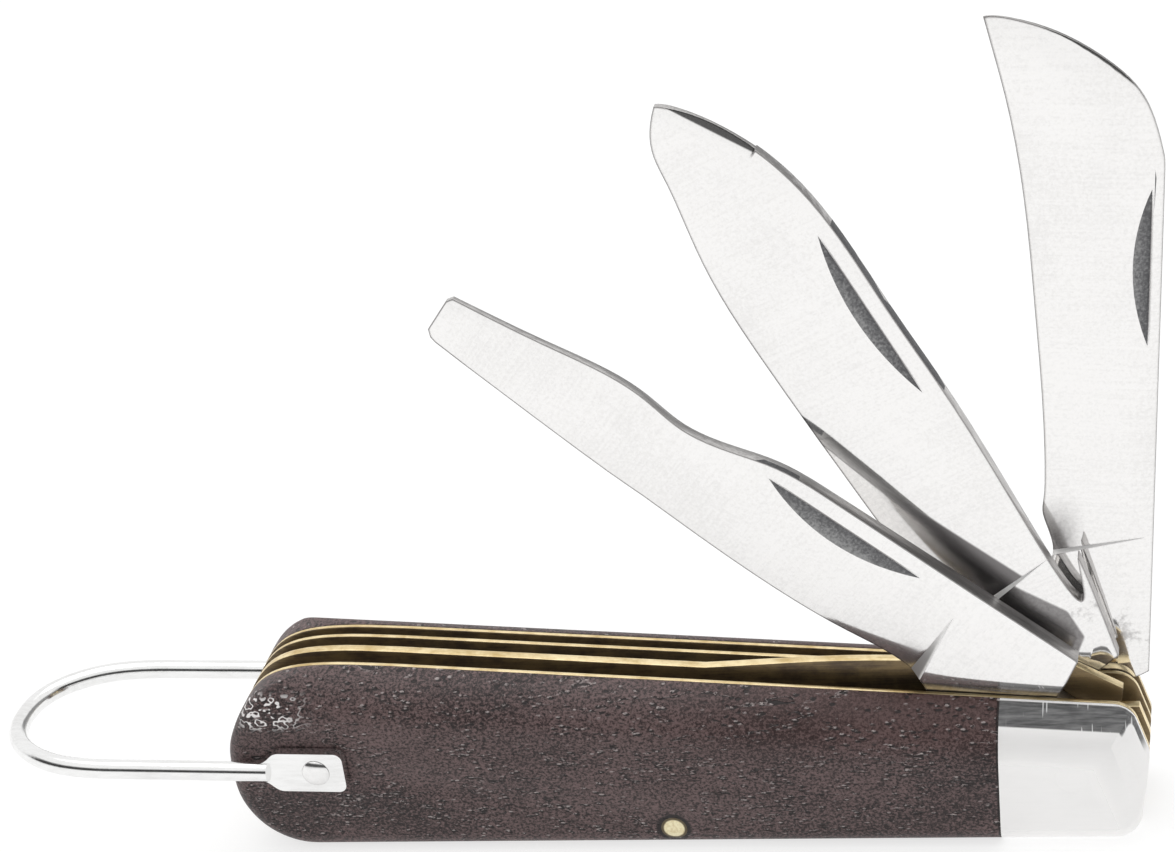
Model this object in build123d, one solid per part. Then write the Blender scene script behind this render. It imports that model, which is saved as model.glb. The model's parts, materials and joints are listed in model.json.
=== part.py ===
from build123d import *
import math
import os

# Electrician's three-blade folding knife, millimetres.
# X runs along the handle, from the butt (-X) to the bolster end (+X); Y is the handle's thickness;
# Z rises from the back of the knife. The origin is on the back, straight below the blades' pivot.

# Driving dimensions
handle_length = 95.0
handle_width = 17.0          # over both covers, along Y
pivot_height = 8.2           # pivot axis above the back
bolster_reach = 7.2          # pivot axis to the bolster end
butt_x = bolster_reach - handle_length
butt_bulge = -0.2            # the butt's furthest point, past butt_x
butt_round = 8.2             # radius of the butt's lower corner
top_slope = 0.088            # the top edge rises this much per mm towards the butt
top_at_pivot = 14.2          # height of the top edge straight above the pivot
edge_radius = 2.4            # rounding of the covers' and bolsters' outer edges
crown_slope = 12.0           # degrees the covers fall away at the liners, along the top and nose
nose_reach = 0.25            # the nose's middle corner, past bolster_reach
nose_height = 8.3            # and its height
joint_foot_x = -8.05         # slanted joint between bolster and cover, 10 mm below the back
joint_head_x = -5.9          # and 30 mm above it

# The stack between the covers, from the front (-Y) to the rear (+Y)
liner_thickness = 0.6
lock_liner_thickness = 1.1
front_slot = 2.1
middle_slot = 1.6
rear_slot = 1.25
side_clearance = 0.08        # between a blade and each wall of its slot
stack = [liner_thickness, front_slot, lock_liner_thickness, middle_slot,
         liner_thickness, rear_slot, liner_thickness]
stack_width = sum(stack)
edge_y = [-stack_width / 2]
for layer in stack:
    edge_y.append(edge_y[-1] + layer)

# Pins
pivot_radius = 1.6
pivot_play = 0.05
spring_pin_radius = 1.35
spring_pin_x = -40.6
spring_pin_z = 2.6
bail_pin_radius = 1.1
bail_pin_x = -77.4
bail_pin_z = 11.05
bail_pin_play = 0.05
bail_pin_head_radius = 1.5
bail_pin_head_height = 1.0
bail_pin_end_gap = 0.05      # between a bail eye and the rivet head over it

# Tang and backsprings
tang_radius = 4.25           # round back of the tang, which runs on the backspring
tang_flat = 3.75             # flats that settle on the spring when shut and when open
spring_gap = 0.05
spring_top = pivot_height - tang_radius - spring_gap
closed_angle = 6.5           # blade's rise above the back when it is shut, degrees
shoulder_reach = 5.8         # pivot to the tang's shoulder

# How far each blade stands open from the butt direction as modelled, degrees
screwdriver_angle = 40.9
spear_angle = 64.6
pruning_angle = 95.0

# Bail
bail_wire_radius = 1.05
bail_gap = 0.1               # between the bail's flattened eyes and the covers
bail_eye_thickness = 1.2
bail_tilt = 2.0              # degrees above level
bail_straight = 22.6         # bail pin to the start of the bow
bail_length = 36.5           # bail pin to the middle of the bow's wire
bail_neck = 5.2              # bail pin to the start of the round wire
bail_outer_y = handle_width / 2 + bail_gap + bail_eye_thickness


def box_between(low, high):
    """A box from its lowest to its highest corner."""
    size = [b - a for a, b in zip(low, high)]
    middle = [(a + b) / 2 for a, b in zip(low, high)]
    return Pos(*middle) * Box(*size)


def rod_y(x, z, radius, y0, y1):
    """A round rod along Y."""
    return Pos(x, (y0 + y1) / 2, z) * Rot(90, 0, 0) * Cylinder(radius, abs(y1 - y0))


def side_face(line, y):
    """A face from a closed line drawn in X and Z, standing at the given Y."""
    plane = Plane(origin=(0, y, 0), x_dir=(1, 0, 0), z_dir=(0, -1, 0))
    return plane * make_face(line)


def slab(line, y0, y1):
    """Extrude a closed X-Z line from y0 to y1."""
    return extrude(side_face(line, y1), y1 - y0)


def top_height(x):
    return top_at_pivot - top_slope * x


def nose_corners():
    """Low, middle and high corners of the bolster end, before rounding."""
    high_x = bolster_reach - 1.25
    return [(bolster_reach - 1.15, 0), (bolster_reach + nose_reach, nose_height),
            (high_x, top_height(high_x))]


def end_curve():
    """The rounded bolster end, from the back up to the top edge."""
    inner_x = bolster_reach - 8
    low, middle, high = nose_corners()
    return FilletPolyline((inner_x, 0), low, middle, high, (inner_x, top_height(inner_x)), radius=2.6)


def butt_curve():
    """The rounded butt, from the top edge down to a quarter circle that runs into the back."""
    start = (butt_x + 19, top_height(butt_x + 19))
    points = [start, (butt_x + 10.5, 20.6), (butt_x + 4.3, 18.9), (butt_x + 0.85, 14.3),
              (butt_x + butt_bulge, butt_round)]
    upper = Spline(*points, tangents=[(-1, top_slope * 0.8), (0, -1)])
    lower = TangentArc(upper @ 1, (butt_x + butt_bulge + butt_round, 0), tangent=(0, -1))
    return upper, lower


def handle_outline():
    """The side view that covers, bolsters and liners share."""
    nose = end_curve()
    upper, lower = butt_curve()
    top = Line(nose @ 1, upper @ 0)
    back = Line(lower @ 1, nose @ 0)
    return [nose, top, upper, lower, back]


def crowned_bar(start, along):
    """A long bar whose outer side falls away from the liners to both faces of the handle."""
    half = handle_width / 2
    flat = stack_width / 2
    depth = 2 * handle_length
    reach = 2 * handle_length
    lean = math.radians(crown_slope)
    radius = (half - flat) / (1 - math.sin(lean))
    drop = radius * math.cos(lean)
    turn = (lean + math.pi / 2) / 2
    bulge = (half - radius + radius * math.sin(turn), radius * math.cos(turn) - drop)
    right = ThreePointArc((half, -drop), bulge, (flat, 0))
    left = ThreePointArc((-flat, 0), (-bulge[0], bulge[1]), (-half, -drop))
    box_side = Polyline((-half, -drop), (-half, -depth), (half, -depth), (half, -drop))
    section = make_face([right, Line((flat, 0), (-flat, 0)), left, box_side])
    upright = Plane(origin=(start[0], 0, start[1]), x_dir=(0, 1, 0), z_dir=(along[0], 0, along[1]))
    return extrude(upright * section, reach, both=True)


def handle_body():
    """The whole handle as one rounded block, which covers, bolsters and pins are cut from."""
    half = handle_width / 2
    block = slab(handle_outline(), -half, half)
    rims = block.edges().filter_by(lambda e: abs(abs(e.center().Y) - half) < 0.01)
    body = fillet(rims, edge_radius)
    middle, high = nose_corners()[1:]
    body = body & crowned_bar((0, top_at_pivot), (1, -top_slope))
    return body & crowned_bar(high, (middle[0] - high[0], middle[1] - high[1]))


def joint_cut(y0, y1, front):
    """Everything on the bolster side (front) or cover side of the slanted bolster joint."""
    far = 40 if front else -140
    line = Polyline((joint_foot_x, -10), (joint_head_x, 30), (far, 30), (far, -10), close=True)
    return slab(line, y0, y1)


def pin_holes(radius_pivot, y0, y1):
    """Bores for the three through pins."""
    pivot = rod_y(0, pivot_height, radius_pivot, y0, y1)
    spring = rod_y(spring_pin_x, spring_pin_z, spring_pin_radius, y0, y1)
    bail_bore = rod_y(bail_pin_x, bail_pin_z, bail_pin_radius, y0, y1)
    return pivot + spring + bail_bore


def cover_side(side):
    """Y range of a cover: side -1 is the front, +1 the rear."""
    inner = side * stack_width / 2
    outer = side * handle_width / 2
    return min(inner, outer), max(inner, outer)


def cover(body, side):
    y0, y1 = cover_side(side)
    part = body & joint_cut(y0, y1, False)
    return part - pin_holes(pivot_radius, y0 - 1, y1 + 1)


def bolster(body, side):
    y0, y1 = cover_side(side)
    part = body & joint_cut(y0, y1, True)
    return part - rod_y(0, pivot_height, pivot_radius, y0 - 1, y1 + 1)


def liner(index):
    y0, y1 = edge_y[index], edge_y[index + 1]
    return slab(handle_outline(), y0, y1) - pin_holes(pivot_radius, y0 - 1, y1 + 1)


def lock_leaf_outline():
    """The part of the locking liner that stands above the handle's top edge."""
    start = (-44, top_height(-44) - 0.6)
    rise = Spline(start, (-34, 17.5), (-23, 17.85), (-10, 17.45), (0.2, 16.8),
                  tangents=[(1, -0.05), (1, -0.14)])
    return [rise, Polyline(rise @ 1, (5.1, 13.8), (4.75, 11.7), (-44, 14.9), start)]


def lock_liner():
    """Thick brass liner; a slit frees the spring leaf that locks the screwdriver blade."""
    y0, y1 = edge_y[2], edge_y[3]
    slit_width = 0.45
    slit_end = (-46, 15.6)
    slit_mouth = (12, 11.6)
    nose_clear = box_between((4.7, y0 - 1, 11.6), (12, y1 + 1, 20))
    part = slab(handle_outline(), y0, y1) - nose_clear
    part = part + slab(lock_leaf_outline(), y0, y1)
    length = math.dist(slit_mouth, slit_end)
    angle = math.degrees(math.atan2(slit_end[1] - slit_mouth[1], slit_mouth[0] - slit_end[0]))
    middle = Pos((slit_mouth[0] + slit_end[0]) / 2, (y0 + y1) / 2, (slit_mouth[1] + slit_end[1]) / 2)
    slit = middle * Rot(0, angle, 0) * Box(length, y1 - y0 + 2, slit_width)
    part = part - slit - rod_y(*slit_end, 0.6, y0 - 1, y1 + 1)
    return part - pin_holes(pivot_radius, y0 - 1, y1 + 1)


def spring_outline():
    """Backspring: flat tip under the tangs, deep at the middle pin, an eye at the bail pin."""
    tip = [(4.9, 0), (4.4, spring_top), (-7.0, spring_top)]
    eye_radius = 1.8
    eye_front = (bail_pin_x + eye_radius, bail_pin_z)
    eye_top = (bail_pin_x, bail_pin_z + eye_radius)
    belly = Spline(tip[-1], (-16, 3.4), (-26, 3.7), (-40, 5.3), (-56, 5.1), (-73.4, 5.6),
                   tangents=[(-1, -0.03), (-1, 0.1)])
    corner = TangentArc(belly @ 1, (eye_front[0], 8.2), tangent=(-1, 0.1))
    front = Line(corner @ 1, eye_front)
    side = eye_radius * math.sqrt(0.5)
    eye = ThreePointArc(eye_front, (bail_pin_x + side, bail_pin_z + side), eye_top)
    butt_share = 0.8
    upper, lower = butt_curve()
    shelf = Line(eye_top, upper @ butt_share)
    back = Line(lower @ 1, tip[0])
    return [Polyline(*tip), belly, corner, front, eye, shelf, upper.trim(butt_share, 1), lower, back]


def backspring(slot):
    y0, y1 = edge_y[slot], edge_y[slot + 1]
    part = slab(spring_outline(), y0, y1)
    part = part - rod_y(spring_pin_x, spring_pin_z, spring_pin_radius, y0 - 1, y1 + 1)
    return part - rod_y(bail_pin_x, bail_pin_z, bail_pin_radius, y0 - 1, y1 + 1)


def tang_lines(spine):
    """The tang, from the shoulder round the back to the kick, in blade coordinates.

    Along a blade, x runs from the pivot to the tip, y from the edge to the spine, and z from the
    front face to the rear face.
    """
    shoulder = (shoulder_reach, spine)
    notch = (shoulder_reach - 0.9, tang_flat)
    flat_half = math.sqrt(tang_radius**2 - tang_flat**2)
    open_end = (flat_half, tang_flat)
    shut = math.radians(closed_angle)
    foot = (-tang_flat * math.sin(shut), -tang_flat * math.cos(shut))
    shut_end = (foot[0] - flat_half * math.cos(shut), foot[1] + flat_half * math.sin(shut))
    kick_reach = 5.2
    kick = (foot[0] + kick_reach * math.cos(shut), foot[1] - kick_reach * math.sin(shut))
    front = Polyline(shoulder, (shoulder_reach - 0.7, 5.4), notch, open_end)
    back = ThreePointArc(open_end, (-tang_radius, 0), shut_end)
    belly = Polyline(shut_end, kick, (6.4, -4.75), (14.8, -3.9), (16.5, -3.1))
    return [front, back, belly]


def blade_plane(angle, y):
    """Blade coordinates in space: the blade points to the butt at 0 degrees and opens upward."""
    turn = math.radians(angle)
    along = (-math.cos(turn), 0, math.sin(turn))
    return Plane(origin=(0, y, pivot_height), x_dir=along, z_dir=(0, 1, 0))


def blade_faces(thickness):
    """Each face's z and the direction out of it."""
    return ((0, -1), (thickness, 1))


def grind(thickness, start, lean, top, slope):
    """Two wedges that thin a blade evenly from a line near its spine to its edge.

    Each starts at a plunge, a leaning ramp where the grinding wheel came in.
    """
    ramp = 1.6
    reach = 80
    drop = thickness * 0.46 / slope
    wedges = []
    for face, out in blade_faces(thickness):
        profile = Polyline((0, face), (0, face + out), (-drop, face + out),
                           (-drop, face - out * drop * slope), close=True)
        section = Plane(origin=(0, top, 0), x_dir=(0, 1, 0), z_dir=(1, 0, 0))
        wedge = extrude(section * make_face(profile), reach)
        plunge = Plane(origin=(start, 0, face), z_dir=(1, -lean, out * ramp))
        wedges.append(wedge - plunge * Pos(0, 0, -60) * Box(240, 240, 120))
    return wedges


def distal_taper(thickness, start, reach, depth):
    """Two wedges that thin a blade from its middle to its tip."""
    wedges = []
    for face, out in blade_faces(thickness):
        profile = Polyline((start, face), (start, face + out), (reach, face + out),
                           (reach, face - out * depth), close=True)
        section = Plane(origin=(0, 0, 0), x_dir=(1, 0, 0), z_dir=(0, -1, 0))
        wedges.append(extrude(section * make_face(profile), 30, both=True))
    return wedges


def swedge(thickness, tip, back, width, depth):
    """Two narrow bevels along the spine beside the tip."""
    length = math.dist(tip, back)
    along = ((tip[0] - back[0]) / length, (tip[1] - back[1]) / length)
    wedges = []
    for face, out in blade_faces(thickness):
        profile = Polyline((-width, face), (-width, face + out), (2, face + out),
                           (2, face - out * depth * (2 + width) / width), close=True)
        section = Plane(origin=(*back, 0), x_dir=(-along[1], along[0], 0), z_dir=(*along, 0))
        wedges.append(extrude(section * make_face(profile), length + 3))
    return wedges


def back_bevel(blade, thickness, width):
    """Narrow bevels on both faces along the curve that leads the back to the point."""
    curve = blade.faces().sort_by(Axis.X)[-1]
    rims = curve.edges().filter_by(lambda e: abs(e.center().Z - thickness / 2) > thickness / 4)
    return chamfer(rims, thickness * 0.3, width, reference=curve)


def nail_nick(middle, length, drop, depth, surface):
    """A crescent cut by a wheel: straight along the top, curved below, in the front face."""
    radius = (length**2 / 4 + depth**2) / (2 * depth)
    flare = 2.0
    cone = Cone(radius - depth * flare, radius, drop * flare)
    placed = Pos(middle[0], middle[1] - drop * flare / 2, surface + depth - radius)
    return placed * Rot(-90, 0, 0) * cone


def finish_blade(blade, slot, angle, thickness, cuts):
    """Cut a blade's grinds and nick, bore it and set it in its slot."""
    for cut in cuts:
        blade = blade - cut
    bore = Cylinder(pivot_radius + pivot_play, 4 * thickness)
    front = (edge_y[slot] + edge_y[slot + 1] - thickness) / 2
    return blade_plane(angle, front) * (blade - bore)


def screwdriver_blade():
    """Flat-tipped blade with a shallow waist on its spine and a thin lower edge."""
    slot = 1
    thickness = front_slot - 2 * side_clearance
    spine = 8.4
    tang = tang_lines(spine)
    lower = Spline(tang[-1] @ 1, (20, -2.8), (26, -3.4), (49, -3.1), (75.2, -1.15),
                   tangents=[(1, 0.2), (1, 0.09)])
    tip = Polyline((75.2, -1.15), (75.9, -0.95), (76.5, -0.35), (76.6, 3.3), (76.2, 3.95))
    crest = Spline((76.2, 3.95), (66, 5.4), (55.6, 6.4), (51.0, 5.85), (45.9, 6.7),
                   (41.5, spine - 0.45), (36, spine), tangents=[(-1, 0.13), (-1, 0.0)])
    straight = Line((36, spine), tang[0] @ 0)
    cuts = grind(thickness, 17.15, 0.205, 5.0, 0.094)
    cuts += distal_taper(thickness, 18, 77, 0.66)
    cuts.append(nail_nick((33.6, 6.6), 19.6, 2.5, 0.4, 0.1))
    blade = extrude(make_face([*tang, lower, tip, crest, straight]), thickness)
    return finish_blade(blade, slot, screwdriver_angle, thickness, cuts)


def spear_blade():
    """The main blade: a full flat grind and a spear point."""
    slot = 3
    thickness = middle_slot - 2 * side_clearance
    spine = 8.1
    tang = tang_lines(spine)
    tip = (77.3, -0.1)
    edge = Spline(tang[-1] @ 1, (21, -4.3), (32, -5.2), (50, -5.55), (62, -4.9), (70.5, -3.35), tip,
                  tangents=[(1, -0.35), (1, 1.1)])
    crest = Spline(tip, (76.4, 1.1), (71.3, 4.8), (66.4, 6.75), (60, 7.85), (50, 8.0), (30, 8.0),
                   (14, 8.8), (shoulder_reach, spine), tangents=[(-0.5, 1), (-1, -0.2)])
    cuts = grind(thickness, 16.6, 0.27, 7.6, 0.046)
    cuts += swedge(thickness, (76.9, 0.9), (69.0, 5.7), 1.1, 0.35)
    cuts.append(nail_nick((49.5, 6.3), 18.8, 1.9, 0.38, 0.06))
    blade = extrude(make_face([*tang, edge, crest]), thickness)
    return finish_blade(blade, slot, spear_angle, thickness, cuts)


def pruning_blade():
    """Hooked blade with a concave edge and a point that drops below it."""
    slot = 5
    thickness = rear_slot - 2 * side_clearance
    spine = 7.0
    tang = tang_lines(spine)
    tip = (74.5, -9.3)
    choil = Spline(tang[-1] @ 1, (20, -2.6), (23.6, -3.6), (27, -3.45), tangents=[(1, 0.2), (1, 0.0)])
    edge = Spline((27, -3.45), (44.8, -4.45), (58.7, -5.85), (68, -7.6), tip,
                  tangents=[(1, 0.0), (1, -0.25)])
    crest = Spline(tip, (74.3, -6.6), (72.7, -2.0), (70.0, 2.2), (66.6, 5.2), (62, 6.75), (56, spine),
                   tangents=[(0.25, 1), (-1, 0)])
    straight = Line((56, spine), tang[0] @ 0)
    cuts = grind(thickness, 19.75, 0.27, 6.6, 0.029)
    cuts.append(nail_nick((50.2, 5.9), 16.0, 1.8, 0.32, 0.02))
    blade = extrude(make_face([*tang, choil, edge, crest, straight]), thickness)
    blade = back_bevel(blade, thickness, 0.9)
    return finish_blade(blade, slot, pruning_angle, thickness, cuts)


def bail():
    """Wire bow whose two ends are flattened into eyes."""
    leg_y = handle_width / 2 + bail_gap + bail_wire_radius
    start = (-bail_neck, -leg_y, 0)
    turn = (-bail_straight, -leg_y, 0)
    apex = (-bail_length, 0, 0)
    bow = Spline(turn, (-bail_length * 0.9, -leg_y * 0.74, 0), apex, tangents=[(-1, 0, 0), (0, 1, 0)])
    half_path = Line(start, turn) + bow
    section = Plane(origin=start, z_dir=(-1, 0, 0)) * Circle(bail_wire_radius)
    half = sweep(section, path=half_path)
    half = half + lug()
    whole = half + mirror(half, about=Plane.XZ)
    return Pos(bail_pin_x, 0, bail_pin_z) * Rot(0, bail_tilt, 0) * whole


def lug():
    """A flattened eye: a rounded plate that narrows into the wire."""
    inner = -(handle_width / 2 + bail_gap)
    outer = inner - bail_eye_thickness
    half = 2.35
    end = 3.1
    outline = [Line((end, -half), (end, half)), Line((end, half), (-3.7, half)),
               Spline((-3.7, half), (-5.1, 1.6), (-7.0, 0.9), tangents=[(-1, 0), (-1, 0)]),
               Line((-7.0, 0.9), (-7.0, -0.9)),
               Spline((-7.0, -0.9), (-5.1, -1.6), (-3.7, -half), tangents=[(1, 0), (1, 0)]),
               Line((-3.7, -half), (end, -half))]
    plate = slab(outline, outer, inner)
    upright = plate.edges().filter_by(Axis.Y).sort_by(Axis.X)[-2:]
    plate = fillet(upright, 0.9)
    return plate - rod_y(0, 0, bail_pin_radius + bail_pin_play, outer - 1, inner + 1)


def domed_head(side):
    """A low domed rivet head outside one bail eye."""
    base = side * (bail_outer_y + bail_pin_end_gap)
    rise = bail_pin_head_height
    ball_radius = (bail_pin_head_radius**2 + rise**2) / (2 * rise)
    centre = base + side * (rise - ball_radius)
    ball = Pos(bail_pin_x, centre, bail_pin_z) * Sphere(ball_radius)
    return ball & rod_y(bail_pin_x, bail_pin_z, bail_pin_head_radius, base, base + side * rise)


def bail_pin():
    """Steel rivet through the butt, with a domed head on each end."""
    reach = bail_outer_y + bail_pin_end_gap + bail_pin_head_height / 4
    shank = rod_y(bail_pin_x, bail_pin_z, bail_pin_radius, -reach, reach)
    return shank + domed_head(-1) + domed_head(1)


def flush_pin(body, x, z, radius):
    """A pin dressed off flush with the rounded handle."""
    return rod_y(x, z, radius, -handle_width, handle_width) & body


def make_parts():
    body = handle_body()
    return {
        "front_cover": cover(body, -1),
        "rear_cover": cover(body, 1),
        "front_bolster": bolster(body, -1),
        "rear_bolster": bolster(body, 1),
        "front_liner": liner(0),
        "lock_liner": lock_liner(),
        "middle_liner": liner(4),
        "rear_liner": liner(6),
        "front_backspring": backspring(1),
        "middle_backspring": backspring(3),
        "rear_backspring": backspring(5),
        "screwdriver_blade": screwdriver_blade(),
        "spear_blade": spear_blade(),
        "pruning_blade": pruning_blade(),
        "pivot_pin": flush_pin(body, 0, pivot_height, pivot_radius),
        "spring_pin": flush_pin(body, spring_pin_x, spring_pin_z, spring_pin_radius),
        "bail_pin": bail_pin(),
        "bail": bail(),
    }


def main():
    os.makedirs("parts", exist_ok=True)
    for name, part in make_parts().items():
        export_step(part, f"parts/{name}.step")
        print(name, round(part.volume, 1))


main()
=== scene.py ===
import json
import math

import bpy
from mathutils import Matrix, Vector


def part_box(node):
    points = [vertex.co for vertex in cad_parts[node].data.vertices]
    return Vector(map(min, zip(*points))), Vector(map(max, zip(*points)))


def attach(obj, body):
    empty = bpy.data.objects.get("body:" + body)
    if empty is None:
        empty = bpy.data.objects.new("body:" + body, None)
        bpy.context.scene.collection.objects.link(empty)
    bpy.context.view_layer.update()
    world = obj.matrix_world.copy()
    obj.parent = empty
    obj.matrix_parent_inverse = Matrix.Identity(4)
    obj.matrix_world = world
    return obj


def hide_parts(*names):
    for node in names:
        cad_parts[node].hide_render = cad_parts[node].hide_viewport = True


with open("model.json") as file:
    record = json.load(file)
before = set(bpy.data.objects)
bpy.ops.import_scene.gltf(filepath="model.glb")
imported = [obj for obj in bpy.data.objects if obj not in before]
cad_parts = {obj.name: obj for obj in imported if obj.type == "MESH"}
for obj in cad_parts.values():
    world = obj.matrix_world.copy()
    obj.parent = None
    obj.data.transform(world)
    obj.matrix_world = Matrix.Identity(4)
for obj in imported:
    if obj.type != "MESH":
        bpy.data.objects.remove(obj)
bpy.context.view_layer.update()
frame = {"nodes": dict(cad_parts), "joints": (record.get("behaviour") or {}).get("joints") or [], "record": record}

nodes = frame["nodes"]
pivot = Vector(frame["joints"][0]["pos_m"])    # the blades share one pivot
mm = 0.001


# Shader maths

class Wire:
    def __init__(self, tree, socket=None):
        self.tree = tree
        self.socket = socket

    def node(self, kind, inputs, settings=None, output=0):
        item = self.tree.nodes.new(kind)
        for name, value in (settings or {}).items():
            setattr(item, name, value)
        for name, value in inputs.items():
            if isinstance(value, Wire):
                self.tree.links.new(value.socket, item.inputs[name])
            else:
                item.inputs[name].default_value = value
        return Wire(self.tree, item.outputs[output] if item.outputs else None)

    def maths(self, operation, *values):
        return self.node("ShaderNodeMath", dict(enumerate(values)), {"operation": operation})

    def __add__(self, other):
        return self.maths("ADD", self, other)

    def __sub__(self, other):
        return self.maths("SUBTRACT", self, other)

    def __mul__(self, other):
        return self.maths("MULTIPLY", self, other)

    def __truediv__(self, other):
        return self.maths("DIVIDE", self, other)

    def __radd__(self, other):
        return self.maths("ADD", other, self)

    def __rsub__(self, other):
        return self.maths("SUBTRACT", other, self)

    def __rmul__(self, other):
        return self.maths("MULTIPLY", other, self)

    def atMost(self, other):
        return self.maths("MINIMUM", self, other)

    def atLeast(self, other):
        return self.maths("MAXIMUM", self, other)

    def positive(self):
        return self.maths("ABSOLUTE", self)

    def step(self, low, high, start=0.0, end=1.0):     # high below low turns the ramp round
        values = {0: self, 1: low, 2: high, 3: start, 4: end}
        return self.node("ShaderNodeMapRange", values, {"interpolation_type": "SMOOTHSTEP"})

    def mix(self, first, second):
        colours = [c if isinstance(c, Wire) else (*c, 1) for c in (first, second)]
        values = {0: self, 6: colours[0], 7: colours[1]}
        return self.node("ShaderNodeMix", values, {"data_type": "RGBA"}, 2)

    def parts(self):
        split = self.node("ShaderNodeSeparateXYZ", {0: self}).socket.node
        return [Wire(self.tree, socket) for socket in split.outputs]


def newMaterial(name):
    material = bpy.data.materials.new(name)
    material.use_nodes = True
    tree = material.node_tree
    tree.nodes.clear()
    start = Wire(tree)
    place = start.node("ShaderNodeTexCoord", {}, output=3)
    return material, start, place


def scaled(place, size, turn=(0, 0, 0)):       # size in patterns per millimetre, along X, Y and Z
    factors = tuple(s / mm for s in size)
    return place.node("ShaderNodeMapping", {"Vector": place, "Rotation": turn, "Scale": factors})


def stretched(place, size):                    # the same for coordinates already in millimetres
    return place.node("ShaderNodeMapping", {"Vector": place, "Scale": size})


def noise(place, detail=2.0, rough=0.5):
    values = {"Vector": place, "Scale": 1.0, "Detail": detail, "Roughness": rough}
    return place.node("ShaderNodeTexNoise", values)


def contour(field, rings, width, shift=0.0):   # thin lines along the equal heights of a noise
    ring = field * rings + shift
    off = (ring.maths("FRACT", ring) - 0.5).positive()
    return 1 - off.step(width * 0.35, width)


def finish(material, start, values, height=None, strength=0.2, reach=0.1):
    if height is not None:
        bump = {"Height": height, "Strength": strength, "Distance": reach * mm}
        values["Normal"] = start.node("ShaderNodeBump", bump)
    shader = start.node("ShaderNodeBsdfPrincipled", values)
    start.node("ShaderNodeOutputMaterial", {"Surface": shader})
    return material


def pinAxis():                                 # the middle of the spring pin, in X and Z
    low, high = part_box("spring_pin")
    return (low[0] + high[0]) / 2, (low[2] + high[2]) / 2


# Covers: brown plastic with pits in rows and short cracks, with painted highlights beside the pits, along the
# crack lips and in a spot of bright squiggles by the butt

coverLook = {
    "base": (0.016, 0.009, 0.009), "pale": (0.17, 0.112, 0.109), "red": (0.07, 0.025, 0.021),
    # rim and shine are the colours of painted highlights
    "dark": (0.008, 0.005, 0.005), "rim": (0.5, 0.44, 0.43), "shine": (0.9, 0.87, 0.86),
    "roughness": 0.34, "specular": 0.4, "bump": 0.65, "depth": 0.15,
    "tilt": (0, 0.12, 0), "grain": (3.2, 3.2, 4), "cloud": (0.05, 0.05, 0.14), "field": (0.035, 0.05, 0.2),
    "breaks": (0.9, 0.9, 1.4), "patches": (0.06, 0.06, 0.25), "pits": (0.95, 0.95, 2.5),
    "glintShift": (0.12, 0.0, -0.34), "rowPatches": (0.1, 0.1, 0.2), "squiggles": (0.45, 0.45, 0.7),
    "crackRings": 8, "rowRings": 15, "squiggleRings": 6,
    "redShare": 0.6, "redX": (-0.05, -0.008), "redZ": (0.009, 0.0165),
    "crackedX": (-0.07, -0.03), "crackedZ": (0.008, 0.0125), "crackedMore": 0.13,
    # where the painted highlight of bright squiggles lies, on the butt's upper rounding
    "wearAndHighlightX": ((-0.0765, -0.081), (-0.0862, -0.0845)), "highlightZ": ((0.0152, 0.0165), (0.0196, 0.0186)),
    "highlightY": (-0.0056, -0.0064),
    "jointX": 7.5125, "jointLean": 0.05375, "jointLine": (-0.3, -0.12), "pinRing": (2.6, 3.6),
}


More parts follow.
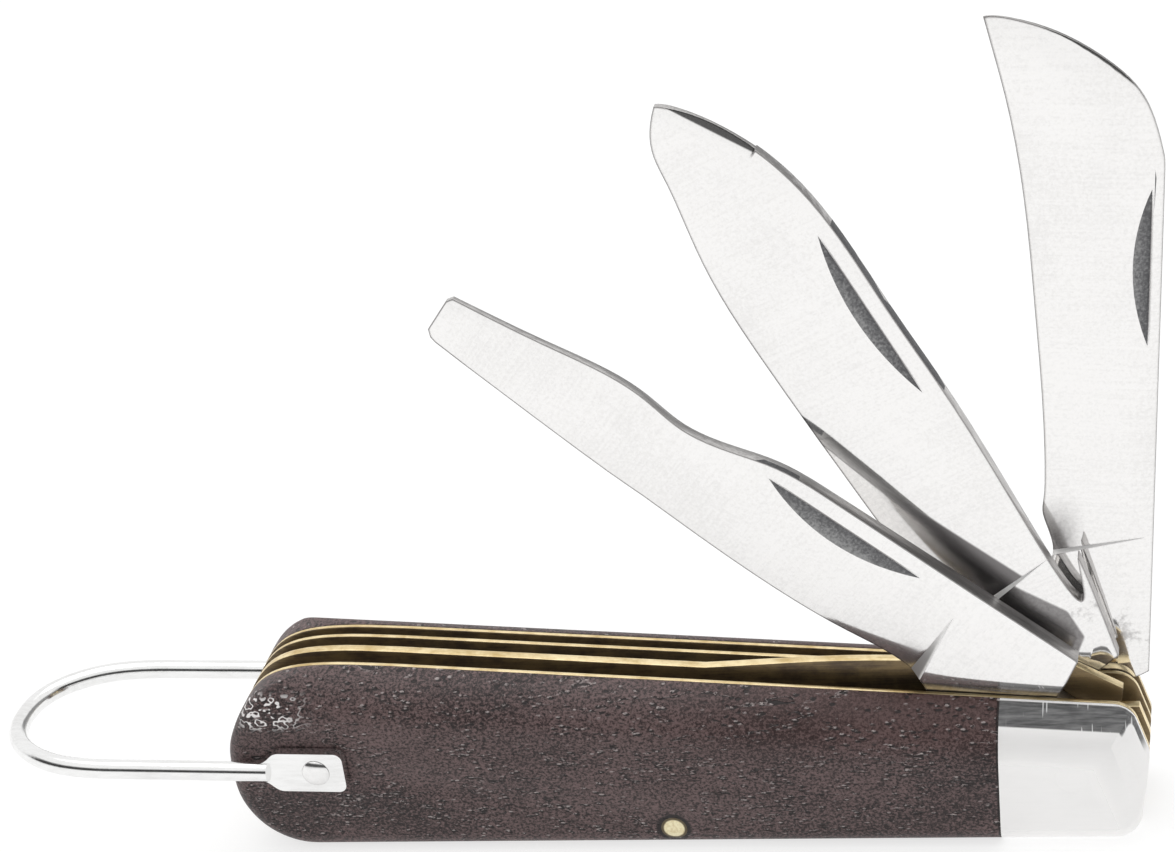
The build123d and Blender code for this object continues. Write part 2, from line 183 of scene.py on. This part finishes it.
def coverMaterial():
    look = coverLook
    tilt = look["tilt"]
    material, start, place = newMaterial("barkPlastic")
    x, y, z = place.parts()
    grain = noise(scaled(place, look["grain"]), 2, 0.8)
    drift = noise(scaled(place, look["cloud"], tilt), 3)
    field = noise(scaled(place, look["field"], tilt), 5, 0.62)

    broken = noise(scaled(place, look["breaks"])).step(0.42, 0.56)
    upper = x.step(*look["crackedX"]) * z.step(*look["crackedZ"]) * look["crackedMore"]
    chosen = noise(scaled(place, look["patches"], tilt), 3) + upper
    crack = contour(field, look["crackRings"], 0.065) * chosen.step(0.47, 0.55) * broken
    # painted highlight along one lip of each crack
    lipHighlight = contour(field, look["crackRings"], 0.045, 0.07) * chosen.step(0.5, 0.58) * broken
    lipHighlight = lipHighlight * grain.step(0.42, 0.54)

    cells = {"Vector": scaled(place, look["pits"], tilt), "Scale": 1.0, "Randomness": 1.0}
    # painted highlight glints beside the pits, from a shifted copy of the pit cells
    shift = {0: cells["Vector"], 1: look["glintShift"]}
    moved = start.node("ShaderNodeVectorMath", shift, {"operation": "ADD"})
    spots = start.node("ShaderNodeTexVoronoi", cells, {"feature": "F1"})
    glints = start.node("ShaderNodeTexVoronoi", {**cells, "Vector": moved}, {"feature": "F1"})
    rows = contour(field, look["rowRings"], 0.4, 0.3)
    rows = rows * noise(scaled(place, look["rowPatches"])).step(0.36, 0.5)
    pits = (1 - spots.step(0.24, 0.4)) * rows
    shine = (1 - glints.step(0.16, 0.3)) * rows * grain.step(0.4, 0.54)

    # painted highlight: bright squiggles on the butt's upper rounding, in the shine colour
    squiggleHighlight = contour(noise(scaled(place, look["squiggles"]), 2, 0.6), look["squiggleRings"], 0.2)
    for axis, ramps in ((x, look["wearAndHighlightX"]), (z, look["highlightZ"]), (y, (look["highlightY"],))):
        for ramp in ramps:
            squiggleHighlight = squiggleHighlight * axis.step(*ramp)

    joint = (x / mm - z / mm * look["jointLean"] + look["jointX"]).step(*look["jointLine"])
    pinX, pinZ = pinAxis()
    across, up = x / mm - pinX / mm, z / mm - pinZ / mm
    ring = 1 - (across * across + up * up).step(*look["pinRing"])

    tone = (drift * 0.3 + grain - 0.15).step(0.36, 0.68)
    colour = tone.mix(look["base"], look["pale"])
    colour = (x.step(*look["redX"]) * z.step(*look["redZ"]) * look["redShare"]).mix(colour, look["red"])
    hollow = pits + crack + joint + ring
    # painted highlights beside the pits and on the crack lips, in the rim colour
    bright = shine * 0.8 + lipHighlight * 0.55
    colour = hollow.atMost(0.9).mix(colour, look["dark"])
    colour = bright.atMost(1.0).mix(colour, look["rim"])
    colour = squiggleHighlight.mix(colour, look["shine"])
    height = grain * 0.5 + field * 2.0 - hollow * 0.7 + bright * 0.5
    values = {"Base Color": colour, "Roughness": look["roughness"] + grain * 0.3,
              "Specular IOR Level": look["specular"]}
    return finish(material, start, values, height, look["bump"], look["depth"])


# Small metal parts

metalLooks = {
    "springSteel": {"colour": (0.42, 0.42, 0.42), "tarnish": (0.25, 0.24, 0.23), "roughness": 0.3,
                    "brush": (0.2, 5, 5), "bump": 0.05, "wear": 0.25},
    "plainSteel": {"colour": (0.86, 0.86, 0.865), "tarnish": (0.74, 0.74, 0.74), "roughness": 0.12,
                   "brush": (1.2, 1.2, 1.2), "bump": 0.02, "wear": 0.25},
    "rivetSteel": {"colour": (0.88, 0.875, 0.87), "tarnish": (0.66, 0.65, 0.64), "roughness": 0.12,
                   "brush": (1.5, 1.5, 1.5), "bump": 0.1, "wear": 0.5},
    "wireSteel": {"colour": (0.88, 0.88, 0.875), "tarnish": (0.62, 0.61, 0.6), "roughness": 0.1,
                  "brush": (0.5, 2.5, 2.5), "bump": 0.08, "wear": 0.45},
}


def metalMaterial(name):
    look = metalLooks[name]
    material, start, place = newMaterial(name)
    cloud = noise(scaled(place, (0.12, 0.12, 0.12)), 4, 0.6)
    scratch = noise(scaled(place, look["brush"]), 3, 0.6)
    stain = (cloud * 0.7 + scratch * 0.5).step(0.45, 0.85) * look["wear"]
    values = {"Base Color": stain.mix(look["colour"], look["tarnish"]), "Metallic": 1.0,
              "Roughness": look["roughness"] + scratch * 0.12}
    return finish(material, start, values, scratch, look["bump"], 0.02)


pinLook = {"gold": (0.87, 0.8, 0.55), "dull": (0.66, 0.55, 0.33), "ring": (0.05, 0.035, 0.025),
           "ringShare": 0.9, "ringFrom": (0.95, 1.35), "metallic": 0.9, "roughness": 0.2}


def pinMaterial():                             # a pale gold pin in a dark ring
    material, start, place = newMaterial("paleGold")
    pinX, pinZ = pinAxis()
    x, _, z = place.parts()
    far = ((x - pinX) * (x - pinX) + (z - pinZ) * (z - pinZ)) / (mm * mm)
    ring = far.step(*pinLook["ringFrom"]) * pinLook["ringShare"]
    specks = noise(scaled(place, (2, 2, 2)), 3, 0.7)
    gold = specks.step(0.35, 0.7).mix(pinLook["gold"], pinLook["dull"])
    values = {"Base Color": ring.mix(gold, pinLook["ring"]), "Metallic": pinLook["metallic"],
              "Roughness": pinLook["roughness"] + specks * 0.2}
    return finish(material, start, values, specks, 0.1, 0.03)


# Brass liners: their edges are bright brass, their faces a darker brown copy of it as painted shade in the slots

brassLook = {
    "edge": {"colour": (0.95, 0.8, 0.5), "deep": (0.6, 0.44, 0.2), "metallic": 1.0},
    # painted shade: a darker copy of the brass for the liner faces in the slots
    "face": {"colour": (0.25, 0.18, 0.09), "deep": (0.1, 0.073, 0.05), "metallic": 0.55},
    "roughness": 0.24, "wearAndHighlightX": (-0.004, 0.006), "wornShare": 0.12, "faceFrom": 0.3, "edgeWidth": 0.13,
}


def brassMaterial(name, side):                 # cleaner at its worn end, by the pivot
    look = brassLook[side]
    material, start, place = newMaterial(name)
    cloud = noise(scaled(place, (0.3, 0.3, 0.5)), 4, 0.7)
    scratch = noise(scaled(place, (0.2, 6, 6)), 3, 0.6)
    wearAndReflectionTone = place.parts()[0].step(*brassLook["wearAndHighlightX"]) * brassLook["wornShare"]
    stain = (cloud * 0.8 + scratch * 0.4 - wearAndReflectionTone).step(0.42, 0.78)
    values = {"Base Color": stain.mix(look["colour"], look["deep"]), "Metallic": look["metallic"],
              "Roughness": brassLook["roughness"] + scratch * 0.2}
    return finish(material, start, values, scratch, 0.08, 0.02)


# Bolsters: white metal with a painted dark reflection band, with scratches, along the top and round the nose

# the band entries paint a dark reflection along the bolster's top
bolsterLook = {
    "silver": (1.0, 0.99, 0.98), "dull": (0.97, 0.96, 0.95), "reflectionBand": (0.075, 0.075, 0.077),
    "reflectionBandPale": (0.24, 0.24, 0.24), "scratch": (0.8, 0.8, 0.8), "metallic": 0.25,
    "from": 4.22, "to": 6.72, "taper": 1.75, "taperX": (0.0048, 0.0062), "reflectionBandZ": (0.0085, 0.0105),
    "roughness": 0.5, "polish": 0.28, "polishedY": (8.3, 8.48),
}


def bolsterMaterial():
    look = bolsterLook
    material, start, place = newMaterial("nickelSilver")
    x, y, z = place.parts()
    side = (y / mm).positive()
    cloud = noise(scaled(place, (0.2, 0.2, 0.3)), 4, 0.6)
    brush = noise(scaled(place, (0.25, 3, 4)), 3, 0.6)
    marks = noise(scaled(place, (3.0, 0.12, 0.3), (0, 0.35, 0.25)), 1, 0.4)
    # painted dark reflection: a band along the top and round the nose, with pale scratches
    limit = look["to"] - x.step(*look["taperX"]) * look["taper"]
    reflectionBand = side.step(look["from"] - 0.05, look["from"] + 0.05)
    reflectionBand = reflectionBand * (1 - side.step(limit - 0.07, limit + 0.07)) * z.step(*look["reflectionBandZ"])
    wearAndReflectionTone = (brush * 0.7 + cloud * 0.5).step(0.42, 0.85).mix(look["reflectionBand"], look["reflectionBandPale"])
    wearAndReflectionTone = marks.step(0.69, 0.73).atMost(0.8).mix(wearAndReflectionTone, look["scratch"])
    clean = (cloud * 0.6 + brush * 0.4).step(0.4, 0.7).mix(look["silver"], look["dull"])
    rough = look["roughness"] - side.step(*look["polishedY"]) * look["polish"]
    values = {"Base Color": reflectionBand.mix(clean, wearAndReflectionTone), "Metallic": look["metallic"],
              "Roughness": rough + brush * 0.03}
    return finish(material, start, values, brush, 0.03, 0.02)


# Blade steel, in each blade's own coordinates: u runs from the pivot to the tip, v to the spine

bladeLook = {
    # rim and line are the colours of painted shade along the edges
    "steel": (0.91, 0.9, 0.89), "dull": (0.82, 0.81, 0.8), "shade": (0.2, 0.19, 0.19),
    "rim": (0.1, 0.09, 0.09), "rimShare": 0.85, "rimWidth": 0.4, "roughness": 0.04, "metallic": 0.92,
    "spine": (0.6, 0.59, 0.58), "spineDark": (0.4, 0.385, 0.38), "line": 0.12,
    "nick": (0.13, 0.13, 0.135), "nickPale": (0.42, 0.42, 0.42),
    "tangEnd": (13.0, 17.0), "footEnd": (5.5, 9.5), "frontFace": (0.5, 0.3),
    "stripTop": (0.01525, 0.015), "stripLean": 0.088, "stripEnds": ((1.2, 2.0), (15.6, 16.4)),
}
# where the painted dark reflection patches lie, in millimetres on the blade
reflectionPatch = {"groundTop": (12.6, 12.95), "groundLean": 0.47, "paleBelow": (1.45, 1.75), "paleLean": 0.153,
         "paleShare": 0.3, "tangTop": (14.1, 14.5), "tangLean": 0.642, "tangHeight": (6.1, 6.4),
         "tangEnd": (3.4, 3.8), "tangEndLean": 0.9}


def bladePlace(place, angle):                  # millimetres along and across a blade, from its pivot
    turn = math.pi - math.radians(angle)
    centre = Matrix.Rotation(turn, 3, "Y") @ (pivot / mm)
    values = {"Vector": place, "Location": tuple(-centre), "Rotation": (0, turn, 0), "Scale": (1 / mm,) * 3}
    return place.node("ShaderNodeMapping", values)


def pastPlunge(u, v, spec):                    # how far a point lies beyond the plunge, towards the tip
    first, lean = spec["plunge"]
    return u - first - v * lean


def reflectionPatches(u, v, past, dots):             # painted dark reflection patches on both sides of the plunge
    beyond = past.step(-0.05, 0.05)
    ground = (1 - (v + u * reflectionPatch["groundLean"]).step(*reflectionPatch["groundTop"])) * beyond
    ground = ground * (v + u * reflectionPatch["paleLean"]).step(*reflectionPatch["paleBelow"], reflectionPatch["paleShare"], 1.0)
    tang = (1 - beyond) * (1 - (v + u * reflectionPatch["tangLean"]).step(*reflectionPatch["tangTop"]))
    tang = tang * (1 - v.step(*reflectionPatch["tangHeight"])) * (0.75 + dots * 0.3)
    return ground + tang * (u - v * reflectionPatch["tangEndLean"]).step(*reflectionPatch["tangEnd"])


def bladeMaterial(spec):
    look = bladeLook
    material, start, place = newMaterial(spec["name"] + "Steel")
    along = bladePlace(place, spec["angle"])
    u, depth, down = along.parts()
    v = 0 - down
    cloud = noise(stretched(along, (0.06, 0.2, 0.1)), 3)
    lines = noise(stretched(along, (4.0, 1.0, 0.12)), 2, 0.6)      # fine grinding marks across the blade
    dots = noise(stretched(along, (2.6, 2.6, 2.6)), 2, 0.8)
    past = pastPlunge(u, v, spec)
    # painted shade: a dark gradient just beyond the plunge
    sweep = past.step(-0.1, 0.1) * (1 - past.step(0.3, spec["reach"])) * down.step(-0.8, 2.6)
    # painted dark reflection, in mottled patches, near the tang
    smudge = noise(stretched(along, (0.3, 0.3, 0.3)), 4, 0.7).step(0.56, 0.7)
    smudge = smudge * (1 - u.step(*look["tangEnd"])) * spec["smudge"]
    shade = (sweep * spec["sweep"] * (0.7 + dots * 0.6) + smudge).atMost(0.95)
    front = depth.step(*look["frontFace"])
    # painted dark reflections of the neighbouring blade, on the front face
    if spec["patches"]:
        shade = shade.atLeast(reflectionPatches(u, v, past, dots) * front)
    if spec["foot"]:                           # painted dark reflection on the lower tang
        footReflection = (1 - u.step(*look["footEnd"])) * (0.3 + dots * 0.5) * front
        shade = shade.atLeast(footReflection * spec["foot"])
    if spec["strip"]:                          # a painted dark reflection of the handle on the tang, where it meets the front liner
        x, _, z = place.parts()
        inner, outer = look["stripEnds"]
        strip = (z + x * look["stripLean"]).step(*look["stripTop"]) * u.step(*inner) * (1 - u.step(*outer))
        shade = shade.atLeast(strip * (0.62 + lines * 0.3))
    rounded = start.node("ShaderNodeBevel", {"Radius": look["rimWidth"] * mm}, {"samples": 8})
    flat = start.node("ShaderNodeNewGeometry", {}, output=1)
    alike = start.node("ShaderNodeVectorMath", {0: rounded, 1: flat}, {"operation": "DOT_PRODUCT"}, 1)
    rim = (1 - alike.step(0.93, 0.998)) * look["rimShare"]         # painted shade: a narrow dark line along every edge
    tone = (cloud * 0.35 + dots * 0.45 + lines * 0.2).step(0.42, 0.66)
    colour = shade.mix(tone.mix(look["steel"], look["dull"]), look["shade"])
    values = {"Base Color": rim.mix(colour, look["rim"]), "Metallic": look["metallic"],
              "Roughness": look["roughness"] + cloud * 0.02 + dots * 0.02 + shade * 0.2}
    return finish(material, start, values, lines * 0.6 + dots * 0.5, 0.03, 0.02)


def spineMaterial(spec):
    material, start, place = newMaterial(spec["name"] + "Spine")
    lines = noise(stretched(bladePlace(place, spec["angle"]), (0.35, 7.0, 7.0)), 3, 0.6)
    colour = lines.step(0.35, 0.7).mix(bladeLook["spine"], bladeLook["spineDark"])
    values = {"Base Color": colour, "Metallic": 1.0, "Roughness": 0.24 + lines * 0.2}
    return finish(material, start, values, lines, 0.25, 0.03)


def nickMaterial(spec):                        # sandy, and paler towards the nick's curved side
    material, start, place = newMaterial(spec["name"] + "Nick")
    along = bladePlace(place, spec["angle"])
    v = 0 - along.parts()[2]
    middle = spec["nick"][1]
    sand = noise(stretched(along, (3.4, 3.4, 3.4)), 2, 0.75)
    fade = v.step(middle + 1.0, middle - 3.4)
    tone = (sand * 1.1 + fade * 0.55 - 0.42).step(0.1, 0.75)
    values = {"Base Color": tone.mix(bladeLook["nick"], bladeLook["nickPale"]), "Metallic": 0.75,
              "Roughness": 0.5 + sand * 0.2}
    return finish(material, start, values, sand, 0.5, 0.08)


def lineMaterial(spec):                        # the fine line where two faces of a blade meet, painted dark as shade
    material, start, place = newMaterial(spec["name"] + "EdgeLine")
    specks = noise(scaled(place, (3, 3, 3)), 2, 0.7)
    colour = specks.step(0.35, 0.7).mix((bladeLook["line"],) * 3, (bladeLook["line"] * 1.8,) * 3)
    values = {"Base Color": colour, "Metallic": 0.6, "Roughness": 0.35 + specks * 0.1}
    return finish(material, start, values)


def plungeMaterial(spec):                      # the polished ramp where the grind begins, with painted shade beyond its start
    material, start, place = newMaterial(spec["name"] + "Plunge")
    u, _, down = bladePlace(place, spec["angle"]).parts()
    specks = noise(scaled(place, (2, 2, 2)), 2, 0.7)
    clean = specks.step(0.3, 0.7).mix(bladeLook["steel"], bladeLook["dull"])
    # painted shade on the ramp beyond its start
    dark = pastPlunge(u, 0 - down, spec).step(0.05, 0.3) * down.step(-3.5, 1.0) * spec["ramp"]
    values = {"Base Color": dark.mix(clean, bladeLook["shade"]), "Metallic": 0.5,
              "Roughness": 0.35 + specks * 0.1}
    return finish(material, start, values)


looks = {
    "cover": coverMaterial(),
    "bolster": bolsterMaterial(),
    "liner": brassMaterial("linerBrass", "edge"),
    "lock_liner": brassMaterial("lockBrass", "edge"),
    "backspring": metalMaterial("springSteel"),
    "blade": metalMaterial("plainSteel"),
    "bolster_pin": bolsterMaterial(),
    "spring_pin": pinMaterial(),
    "bail_rivet": metalMaterial("rivetSteel"),
    "bail": metalMaterial("wireSteel"),
}
slotNames = {part["node"]: part["material_slot"] for part in frame["record"]["subparts"]}
for nodeName, slotName in slotNames.items():
    for slot in nodes[nodeName].material_slots:
        slot.material = looks[slotName]
print("materials done")


# Pieces refined from their CAD solids

def mergedCopy(nodeName, pieceName):
    bpy.ops.object.select_all(action="DESELECT")
    mesh = nodes[nodeName].data.copy()
    piece = bpy.data.objects.new(pieceName, mesh)
    bpy.context.collection.objects.link(piece)
    piece.select_set(True)
    bpy.context.view_layer.objects.active = piece
    bpy.ops.object.mode_set(mode="EDIT")
    bpy.ops.mesh.select_all(action="SELECT")
    bpy.ops.mesh.remove_doubles(threshold=0.0005 * mm)
    bpy.ops.mesh.customdata_custom_splitnormals_clear()
    bpy.ops.mesh.dissolve_limited(angle_limit=math.radians(0.3))
    bpy.ops.object.mode_set(mode="OBJECT")
    return piece


def softenEdges(piece, width, angle=30, smooth=25):
    bevel = piece.modifiers.new("edges", "BEVEL")
    bevel.width = width * mm
    bevel.segments = 2
    bevel.limit_method = "ANGLE"
    bevel.angle_limit = math.radians(angle)
    bevel.use_clamp_overlap = True
    bevel.miter_outer = "MITER_ARC"
    bpy.ops.object.modifier_apply(modifier=bevel.name)
    bpy.ops.object.shade_smooth_by_angle(angle=math.radians(smooth))


def setMaterials(piece, materials):
    piece.data.materials.clear()
    for material in materials:
        piece.data.materials.append(material)


def swapIn(piece, nodeName, body):
    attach(piece, body)
    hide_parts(nodeName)


# Angles in degrees from the handle, places in millimetres along and across the blade
# each blade's last entries set its painted shade and painted dark reflections
blades = {
    "screwdriver_blade": {"name": "screwdriverBlade", "angle": 40.9, "nick": (33.6, 6.6), "length": 19.6,
                          "plunge": (17.15, 0.205), "sweep": 0.8, "reach": 4.5, "ramp": 0.85,
                          "smudge": 0.05, "foot": 0, "strip": True, "patches": False},
    "spear_blade": {"name": "spearBlade", "angle": 64.6, "nick": (49.5, 6.3), "length": 18.8,
                    "plunge": (16.6, 0.27), "sweep": 0.5, "reach": 3.0, "ramp": 0.1,
                    "smudge": 0.45, "foot": 0, "strip": False, "patches": True},
    "pruning_blade": {"name": "pruningBlade", "angle": 95.0, "nick": (50.2, 5.9), "length": 16.0,
                      "plunge": (19.75, 0.27), "sweep": 1.0, "reach": 7.0, "ramp": 0.3,
                      "smudge": 0.5, "foot": 0.9, "strip": False, "patches": False},
}
steelFace, spineFace, nickFace, lineFace, plungeFace = range(5)


def bladeFace(u, v, facing, depth, spec):      # which material a blade's face gets
    along, across = u - spec["nick"][0], v - spec["nick"][1]
    nearNick = abs(along) < spec["length"] / 2 + 0.4 and -4 < across < 1.9
    if nearNick and facing < 0.992 and depth < 0.75:
        return nickFace
    if facing < 0.4:
        return spineFace
    if abs(pastPlunge(u, v, spec)) < 1.6 and 0.7 < facing < 0.985:
        return plungeFace
    if facing < 0.9 and u > 6:
        return lineFace
    return steelFace


def makeBlade(nodeName):
    spec = blades[nodeName]
    piece = mergedCopy(nodeName, spec["name"])
    softenEdges(piece, 0.06)
    makers = (bladeMaterial, spineMaterial, nickMaterial, lineMaterial, plungeMaterial)
    setMaterials(piece, [maker(spec) for maker in makers])
    angle = math.radians(spec["angle"])
    along = Vector((-math.cos(angle), 0, math.sin(angle)))
    across = Vector((math.sin(angle), 0, math.cos(angle)))
    frontY = min(v.co.y for v in piece.data.vertices)
    for face in piece.data.polygons:
        offset = (face.center - pivot) / mm
        depth = (face.center.y - frontY) / mm
        u, v = offset.dot(along), offset.dot(across)
        face.material_index = bladeFace(u, v, abs(face.normal.y), depth, spec)
    swapIn(piece, nodeName, nodeName)


linerNames = {"front_liner": "frontLiner", "lock_liner": "lockLiner", "middle_liner": "middleLiner",
              "rear_liner": "rearLiner"}


def makeLiner(nodeName):
    name = linerNames[nodeName]
    piece = mergedCopy(nodeName, name + "Plate")
    softenEdges(piece, brassLook["edgeWidth"])
    setMaterials(piece, [looks[slotNames[nodeName]], brassMaterial(name + "Face", "face")])
    for face in piece.data.polygons:
        # faces across the handle get the shaded copy of the brass
        face.material_index = int(abs(face.normal.y) > brassLook["faceFrom"])
    swapIn(piece, nodeName, "handle")


rivetShape = {"headHeight": 1.0, "flatten": 0.5, "edge": 0.08}


def makeRivet():                               # its heads are flatter than a full dome
    piece = mergedCopy("bail_pin", "bailRivet")
    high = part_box("bail_pin")[1]
    base = high[1] - rivetShape["headHeight"] * mm
    for vertex in piece.data.vertices:
        over = abs(vertex.co.y) - base
        if over > 0:
            vertex.co.y = math.copysign(base + over * rivetShape["flatten"], vertex.co.y)
    softenEdges(piece, rivetShape["edge"], 40, 40)
    swapIn(piece, "bail_pin", "handle")


sides = {"front_cover": ("frontCover", 0.12), "rear_cover": ("rearCover", 0.12),
         "front_bolster": ("frontBolster", 0.09), "rear_bolster": ("rearBolster", 0.09)}


def makeSide(nodeName):
    pieceName, edge = sides[nodeName]
    piece = mergedCopy(nodeName, pieceName)
    softenEdges(piece, edge, 35, 40)
    swapIn(piece, nodeName, "handle")


for nodeName in blades:
    makeBlade(nodeName)
print("blades done")
for nodeName in linerNames:
    makeLiner(nodeName)
print("liners done")
for nodeName in sides:
    makeSide(nodeName)
makeRivet()
print("handle done")


# Camera, floor and light

cameraView = {"azimuth": 17.21, "elevation": 27.92, "roll": -10.65, "distance": 0.28405,
              "aim": (-0.05103, 0, 0.0394), "lens": 87.04, "shift": (0.0448, 0.0461), "near": 0.01}


def placeCamera():
    turn = math.radians(cameraView["azimuth"])
    rise = math.radians(cameraView["elevation"])
    away = Vector((math.sin(turn) * math.cos(rise), -math.cos(turn) * math.cos(rise), math.sin(rise)))
    across = Vector((math.cos(turn), math.sin(turn), 0))
    up = away.cross(across)
    roll = Matrix.Rotation(math.radians(cameraView["roll"]), 3, away)
    data = bpy.data.cameras.new("camera")
    data.lens = cameraView["lens"]
    data.shift_x, data.shift_y = cameraView["shift"]
    data.clip_start = cameraView["near"]
    camera = bpy.data.objects.new("camera", data)
    bpy.context.collection.objects.link(camera)
    axes = Matrix((roll @ across, roll @ up, away)).transposed().to_4x4()
    place = Vector(cameraView["aim"]) + away * cameraView["distance"]
    camera.matrix_world = Matrix.Translation(place) @ axes
    bpy.context.scene.camera = camera


studio = {"floor": (0.32, 0.32, 0.319), "floorGlow": 0.72, "floorSize": 6, "floorRoughness": 0.9,
          "sky": 1.0, "dim": 0.05, "haze": 0.3, "frontFrom": (0.0, 0.3), "dimFrom": (0.1, 0.2),
          "dimTo": (0.52, 0.66), "hazeTo": (0.36, 0.42), "hazeFrom": (-0.1, 0.2)}
softbox = {"place": (-0.1, 0.1, 0.7), "aim": (-0.05, 0, 0), "size": 0.6, "power": 1.2}


def makeFloor():
    bpy.ops.object.select_all(action="DESELECT")
    bpy.ops.mesh.primitive_plane_add(size=studio["floorSize"], location=(0, 0, 0))
    floor = bpy.context.object
    floor.name = "floor"
    material, start, place = newMaterial("paperFloor")
    paper = noise(scaled(place, (0.02, 0.02, 0.02)))
    colour = paper.mix(studio["floor"], tuple(c * 0.985 for c in studio["floor"]))
    values = {"Base Color": colour, "Roughness": studio["floorRoughness"],
              "Emission Color": (1, 1, 1, 1), "Emission Strength": studio["floorGlow"]}
    floor.data.materials.append(finish(material, start, values))


def makeSky():
    world = bpy.data.worlds.new("studio")
    bpy.context.scene.world = world
    world.use_nodes = True
    tree = world.node_tree
    tree.nodes.clear()
    start = Wire(tree)
    x, y, z = start.node("ShaderNodeTexCoord", {}).parts()
    front = (0 - y).step(*studio["frontFrom"])         # the dim side of the room
    dark = front * z.step(*studio["dimFrom"]) * (1 - z.step(*studio["dimTo"]))
    back = (1 - front) * (1 - z.step(*studio["hazeTo"])) * x.step(*studio["hazeFrom"])
    level = studio["sky"] - dark * (studio["sky"] - studio["dim"]) - back * (studio["sky"] - studio["haze"])
    sky = start.node("ShaderNodeBackground", {"Color": (1, 1, 1, 1), "Strength": level})
    start.node("ShaderNodeOutputWorld", {"Surface": sky})


def addSoftbox(name):
    data = bpy.data.lights.new(name, "AREA")
    data.shape = "RECTANGLE"
    data.size = data.size_y = softbox["size"]
    data.energy = softbox["power"]
    lamp = bpy.data.objects.new(name, data)
    bpy.context.collection.objects.link(lamp)
    way = Vector(softbox["aim"]) - Vector(softbox["place"])
    turn = way.to_track_quat("-Z", "Y").to_matrix().to_4x4()
    lamp.matrix_world = Matrix.Translation(softbox["place"]) @ turn


placeCamera()
makeFloor()
makeSky()
addSoftbox("overheadBox")
bpy.context.scene.view_settings.view_transform = "Standard"
print("studio done")
